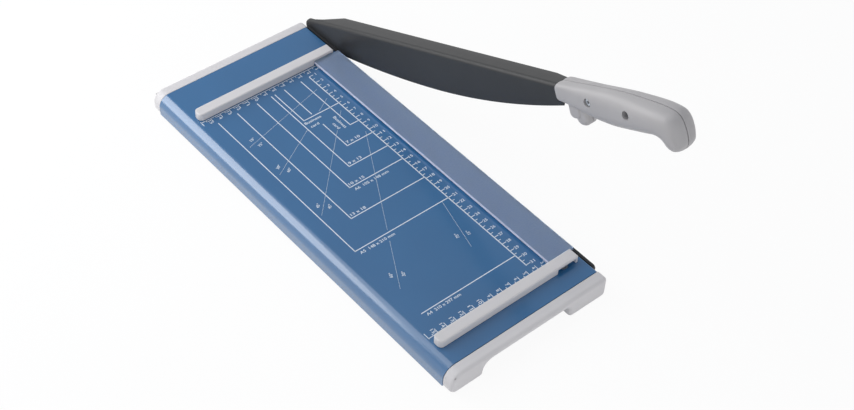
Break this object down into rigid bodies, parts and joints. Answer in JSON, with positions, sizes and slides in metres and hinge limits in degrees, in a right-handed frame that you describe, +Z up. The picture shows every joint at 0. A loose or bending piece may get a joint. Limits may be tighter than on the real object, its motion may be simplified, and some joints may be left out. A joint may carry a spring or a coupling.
{
  "type": "guillotine paper cutter",
  "caption": "Desk guillotine paper cutter: printed steel table on moulded end caps, fences, clear sprung guard strip, and a folded blade arm with a grip handle on a pivot bolt.",
  "frame": {"origin": "on the desk, under the middle of the whole cutter's bounding box with the arm raised as in the picture", "axes": "+Z up from the desk, +Y along the cut to the rear, where the arm's pivot is, +X across the table to the cutting edge"},
  "size_m": [0.1948, 0.4668, 0.2236],
  "materials": {
    "blue_enamel": "satin blue enamel with white printed rulers",
    "grey_plastic": "fine satin light grey moulding",
    "black_steel": "smooth black coated steel",
    "clear_plastic": "clear, finely frosted",
    "bright_steel": "zinc plated",
    "black_rubber": "matt",
    "black_plastic": "matt"
  },
  "bodies": {
    "table": {"table_sheet": "blue_enamel", "knife_rail": "bright_steel", "bed_knife": "black_steel", "bed_knife_screw_1": "bright_steel", "bed_knife_screw_2": "bright_steel", "bed_knife_screw_3": "bright_steel", "bed_knife_screw_4": "bright_steel", "bed_knife_screw_5": "bright_steel", "front_end_cap": "grey_plastic", "rear_end_cap": "grey_plastic", "cap_screw_front": "bright_steel", "cap_screw_rear": "bright_steel", "rubber_foot_front_left": "black_rubber", "rubber_foot_front_right": "black_rubber", "rubber_foot_rear_left": "black_rubber", "rubber_foot_rear_right": "black_rubber", "front_fence": "grey_plastic", "rear_fence": "grey_plastic", "fence_screw_front_1": "bright_steel", "fence_screw_front_2": "bright_steel", "fence_screw_rear_1": "bright_steel", "fence_screw_rear_2": "bright_steel", "fence_pin_front": "black_plastic", "fence_pin_rear": "black_plastic", "spring_cup_front": "grey_plastic", "spring_cup_rear": "grey_plastic", "guard_spring_front": "bright_steel", "guard_spring_rear": "bright_steel", "pivot_bolt": "bright_steel", "pivot_wave_washer": "bright_steel", "pivot_washer": "bright_steel", "pivot_nut": "bright_steel"},
    "arm": {"blade_arm": "black_steel", "handle_left": "grey_plastic", "handle_right": "grey_plastic", "handle_screw_1": "bright_steel", "handle_screw_2": "bright_steel"},
    "guard": {"press_guard": "clear_plastic"}
  },
  "joints": [
    {"name": "arm_hinge", "type": "hinge", "parent": "table", "child": "arm", "pos_m": [0.07498, 0.19962, 0.012], "axis": [-1, 0, 0], "range_deg": [-23.4, 32]},
    {"name": "guard_press", "type": "slide", "parent": "table", "child": "guard", "axis": [0, 0, -1], "range_m": [0, 0.0018], "stiffness_N_per_m": 600, "springref_m": -0.002, "deforming": ["guard_spring_front", "guard_spring_rear"]}
  ]
}
